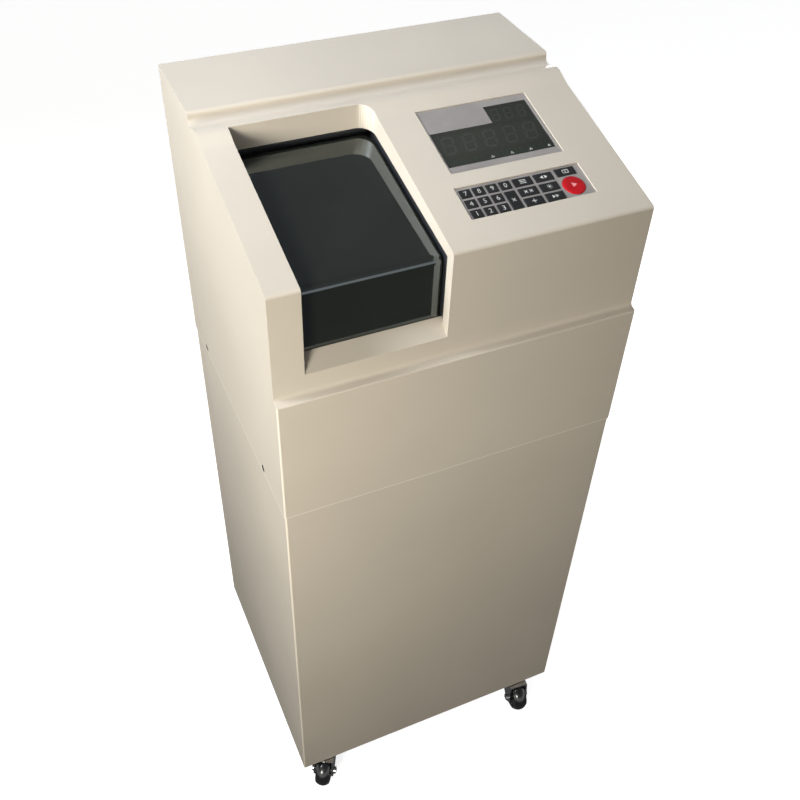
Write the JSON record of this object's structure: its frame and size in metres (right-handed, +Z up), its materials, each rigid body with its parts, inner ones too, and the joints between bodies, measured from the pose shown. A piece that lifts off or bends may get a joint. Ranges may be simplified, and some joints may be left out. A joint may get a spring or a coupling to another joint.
{
  "type": "floor-standing banknote counting machine",
  "caption": "Floor-standing cash counter on swivel casters: steel cabinet, sloping moulded head with a covered counting bay, digit display and keypad.",
  "frame": {"origin": "centre of the whole outline, on the floor under the caster wheels", "axes": "+Z up, the front with the display faces -Y, +X to the right of a person standing in front"},
  "size_m": [0.42, 0.3878, 1.0045],
  "materials": {
    "cabinet_paint": "fine satin powder coat, ivory",
    "deck_paint": "satin light ivory enamel",
    "casing_plastic": "satin ivory paint over moulded plastic",
    "zinc_steel": "zinc plated, satin",
    "black_screw": "black oxide",
    "silver_panel": "satin silver-grey film",
    "smoked_lens": "smoked acrylic, semi-gloss",
    "black_plastic": "fine texture",
    "circuit_board": "solder mask",
    "bay_black": "matt black",
    "smoked_acrylic": "polished dark smoked acrylic",
    "steel_rod": "ground",
    "machined_aluminium": "turned, clear anodised",
    "belt_rubber": "matt",
    "motor_paint": "semi-gloss black",
    "pump_casting": "cast, painted grey",
    "transformer_steel": "varnished steel",
    "key_black": "semi-gloss key top with white legend",
    "red_button": "semi-gloss red",
    "caster_chrome": "bright chrome plate",
    "caster_tyre": "glossy black, crowned tread"
  },
  "bodies": {
    "chassis": {"cabinet_shell": "cabinet_paint", "base_pan": "zinc_steel", "rear_panel": "cabinet_paint", "deck_frame": "deck_paint", "head_casing": "casing_plastic", "casing_screws": "black_screw", "display_plate": "silver_panel", "display_window": "smoked_lens", "led_digits": "black_plastic", "panel_board": "circuit_board", "keypad_plate": "silver_panel", "bay_liner": "bay_black", "cover_pin": "steel_rod", "drive_belt": "belt_rubber", "drive_bracket": "zinc_steel", "drive_motor": "motor_paint", "vacuum_pump": "pump_casting", "vacuum_hose": "belt_rubber", "control_board": "circuit_board", "power_supply": "transformer_steel", "power_inlet": "black_plastic", "caster_plates": "zinc_steel"},
    "cover": {"cover": "smoked_acrylic", "cover_bracket": "black_plastic"},
    "turret": {"turret": "machined_aluminium", "turret_pulley": "machined_aluminium"},
    "spindle_1": {"spindle_1": "black_plastic"},
    "spindle_2": {"spindle_2": "black_plastic"},
    "spindle_3": {"spindle_3": "black_plastic"},
    "spindle_4": {"spindle_4": "black_plastic"},
    "motor_pulley": {"motor_pulley": "machined_aluminium"},
    "note_clamp": {"note_clamp": "zinc_steel"},
    "power_switch": {"power_switch": "black_plastic"},
    "key_7": {"key_7": "key_black"},
    "key_8": {"key_8": "key_black"},
    "key_9": {"key_9": "key_black"},
    "key_0": {"key_0": "key_black"},
    "key_batch": {"key_batch": "key_black"},
    "key_mode": {"key_mode": "key_black"},
    "key_preset": {"key_preset": "key_black"},
    "key_4": {"key_4": "key_black"},
    "key_5": {"key_5": "key_black"},
    "key_6": {"key_6": "key_black"},
    "key_clear": {"key_clear": "key_black"},
    "key_all_clear": {"key_all_clear": "key_black"},
    "key_uv": {"key_uv": "key_black"},
    "key_1": {"key_1": "key_black"},
    "key_2": {"key_2": "key_black"},
    "key_3": {"key_3": "key_black"},
    "key_add": {"key_add": "key_black"},
    "key_speed": {"key_speed": "key_black"},
    "start_button": {"start_button": "red_button"},
    "fork_front_left": {"fork_front_left": "caster_chrome"},
    "wheel_front_left": {"wheel_front_left": "caster_tyre"},
    "fork_front_right": {"fork_front_right": "caster_chrome"},
    "wheel_front_right": {"wheel_front_right": "caster_tyre"},
    "fork_rear_left": {"fork_rear_left": "caster_chrome"},
    "wheel_rear_left": {"wheel_rear_left": "caster_tyre"},
    "fork_rear_right": {"fork_rear_right": "caster_chrome"},
    "wheel_rear_right": {"wheel_rear_right": "caster_tyre"}
  },
  "joints": [
    {"name": "cover_hinge", "type": "hinge", "parent": "chassis", "child": "cover", "pos_m": [-0.0985, 0.04092, 0.949], "axis": [-1, 0, 0], "range_deg": [0, 60]},
    {"name": "key_7_press", "type": "slide", "parent": "chassis", "child": "key_7", "axis": [0, 0.2554, -0.9668], "range_m": [0, 0.0005], "stiffness_N_per_m": 150, "springref_m": -0.001},
    {"name": "key_8_press", "type": "slide", "parent": "chassis", "child": "key_8", "axis": [0, 0.2554, -0.9668], "range_m": [0, 0.0005], "stiffness_N_per_m": 150, "springref_m": -0.001},
    {"name": "key_9_press", "type": "slide", "parent": "chassis", "child": "key_9", "axis": [0, 0.2554, -0.9668], "range_m": [0, 0.0005], "stiffness_N_per_m": 150, "springref_m": -0.001},
    {"name": "key_0_press", "type": "slide", "parent": "chassis", "child": "key_0", "axis": [0, 0.2554, -0.9668], "range_m": [0, 0.0005], "stiffness_N_per_m": 150, "springref_m": -0.001},
    {"name": "key_batch_press", "type": "slide", "parent": "chassis", "child": "key_batch", "axis": [0, 0.2554, -0.9668], "range_m": [0, 0.0005], "stiffness_N_per_m": 150, "springref_m": -0.001},
    {"name": "key_mode_press", "type": "slide", "parent": "chassis", "child": "key_mode", "axis": [0, 0.2554, -0.9668], "range_m": [0, 0.0005], "stiffness_N_per_m": 150, "springref_m": -0.001},
    {"name": "key_preset_press", "type": "slide", "parent": "chassis", "child": "key_preset", "axis": [0, 0.2554, -0.9668], "range_m": [0, 0.0005], "stiffness_N_per_m": 150, "springref_m": -0.001},
    {"name": "key_4_press", "type": "slide", "parent": "chassis", "child": "key_4", "axis": [0, 0.2554, -0.9668], "range_m": [0, 0.0005], "stiffness_N_per_m": 150, "springref_m": -0.001},
    {"name": "key_5_press", "type": "slide", "parent": "chassis", "child": "key_5", "axis": [0, 0.2554, -0.9668], "range_m": [0, 0.0005], "stiffness_N_per_m": 150, "springref_m": -0.001},
    {"name": "key_6_press", "type": "slide", "parent": "chassis", "child": "key_6", "axis": [0, 0.2554, -0.9668], "range_m": [0, 0.0005], "stiffness_N_per_m": 150, "springref_m": -0.001},
    {"name": "key_clear_press", "type": "slide", "parent": "chassis", "child": "key_clear", "axis": [0, 0.2554, -0.9668], "range_m": [0, 0.0005], "stiffness_N_per_m": 150, "springref_m": -0.001},
    {"name": "key_all_clear_press", "type": "slide", "parent": "chassis", "child": "key_all_clear", "axis": [0, 0.2554, -0.9668], "range_m": [0, 0.0005], "stiffness_N_per_m": 150, "springref_m": -0.001},
    {"name": "key_uv_press", "type": "slide", "parent": "chassis", "child": "key_uv", "axis": [0, 0.2554, -0.9668], "range_m": [0, 0.0005], "stiffness_N_per_m": 150, "springref_m": -0.001},
    {"name": "key_1_press", "type": "slide", "parent": "chassis", "child": "key_1", "axis": [0, 0.2554, -0.9668], "range_m": [0, 0.0005], "stiffness_N_per_m": 150, "springref_m": -0.001},
    {"name": "key_2_press", "type": "slide", "parent": "chassis", "child": "key_2", "axis": [0, 0.2554, -0.9668], "range_m": [0, 0.0005], "stiffness_N_per_m": 150, "springref_m": -0.001},
    {"name": "key_3_press", "type": "slide", "parent": "chassis", "child": "key_3", "axis": [0, 0.2554, -0.9668], "range_m": [0, 0.0005], "stiffness_N_per_m": 150, "springref_m": -0.001},
    {"name": "key_add_press", "type": "slide", "parent": "chassis", "child": "key_add", "axis": [0, 0.2554, -0.9668], "range_m": [0, 0.0005], "stiffness_N_per_m": 150, "springref_m": -0.001},
    {"name": "key_speed_press", "type": "slide", "parent": "chassis", "child": "key_speed", "axis": [0, 0.2554, -0.9668], "range_m": [0, 0.0005], "stiffness_N_per_m": 150, "springref_m": -0.001},
    {"name": "start_button_press", "type": "slide", "parent": "chassis", "child": "start_button", "axis": [0, 0.2554, -0.9668], "range_m": [0, 0.0005], "stiffness_N_per_m": 150, "springref_m": -0.001},
    {"name": "turret_spin", "type": "hinge", "parent": "chassis", "child": "turret", "pos_m": [-0.129, -0.09008, 0.872], "axis": [0, 0, 1], "continuous": true},
    {"name": "spindle_1_spin", "type": "hinge", "parent": "turret", "child": "spindle_1", "pos_m": [-0.11203, -0.07311, 0.879], "axis": [0, 0, 1], "continuous": true},
    {"name": "spindle_2_spin", "type": "hinge", "parent": "turret", "child": "spindle_2", "pos_m": [-0.14597, -0.07311, 0.879], "axis": [0, 0, 1], "continuous": true},
    {"name": "spindle_3_spin", "type": "hinge", "parent": "turret", "child": "spindle_3", "pos_m": [-0.14597, -0.10705, 0.879], "axis": [0, 0, 1], "continuous": true},
    {"name": "spindle_4_spin", "type": "hinge", "parent": "turret", "child": "spindle_4", "pos_m": [-0.11203, -0.10705, 0.879], "axis": [0, 0, 1], "continuous": true},
    {"name": "motor_spin", "type": "hinge", "parent": "chassis", "child": "motor_pulley", "pos_m": [-0.06, -0.04608, 0.812], "axis": [0, 0, 1], "continuous": true},
    {"name": "note_clamp_slide", "type": "slide", "parent": "chassis", "child": "note_clamp", "axis": [-1, 0, 0], "range_m": [0, 0.022]},
    {"name": "power_rocker", "type": "hinge", "parent": "chassis", "child": "power_switch", "pos_m": [0.088, 0.18692, 0.127], "axis": [1, 0, 0], "range_deg": [0, 16]},
    {"name": "swivel_front_left", "type": "hinge", "parent": "chassis", "child": "fork_front_left", "pos_m": [-0.16, -0.13708, 0.054], "axis": [0, 0, 1], "continuous": true},
    {"name": "roll_front_left", "type": "hinge", "parent": "fork_front_left", "child": "wheel_front_left", "pos_m": [-0.17696, -0.16422, 0.025], "axis": [0.848, -0.5299, 0], "continuous": true},
    {"name": "swivel_front_right", "type": "hinge", "parent": "chassis", "child": "fork_front_right", "pos_m": [0.16, -0.13708, 0.054], "axis": [0, 0, 1], "continuous": true},
    {"name": "roll_front_right", "type": "hinge", "parent": "fork_front_right", "child": "wheel_front_right", "pos_m": [0.15721, -0.16896, 0.025], "axis": [0.9962, -0.0872, 0], "continuous": true},
    {"name": "swivel_rear_left", "type": "hinge", "parent": "chassis", "child": "fork_rear_left", "pos_m": [-0.16, 0.16292, 0.054], "axis": [0, 0, 1], "continuous": true},
    {"name": "roll_rear_left", "type": "hinge", "parent": "fork_rear_left", "child": "wheel_rear_left", "pos_m": [-0.16501, 0.13131, 0.025], "axis": [0.9877, -0.1564, 0], "continuous": true},
    {"name": "swivel_rear_right", "type": "hinge", "parent": "chassis", "child": "fork_rear_right", "pos_m": [0.16, 0.16292, 0.054], "axis": [0, 0, 1], "continuous": true},
    {"name": "roll_rear_right", "type": "hinge", "parent": "fork_rear_right", "child": "wheel_rear_right", "pos_m": [0.16774, 0.13187, 0.025], "axis": [0.9703, 0.2419, 0], "continuous": true}
  ],
  "couplings": [
    {"joint": "motor_spin", "follows": "turret_spin", "ratio": 2},
    {"joint": "spindle_1_spin", "follows": "turret_spin", "ratio": -2},
    {"joint": "spindle_2_spin", "follows": "turret_spin", "ratio": -2},
    {"joint": "spindle_3_spin", "follows": "turret_spin", "ratio": -2},
    {"joint": "spindle_4_spin", "follows": "turret_spin", "ratio": -2}
  ]
}
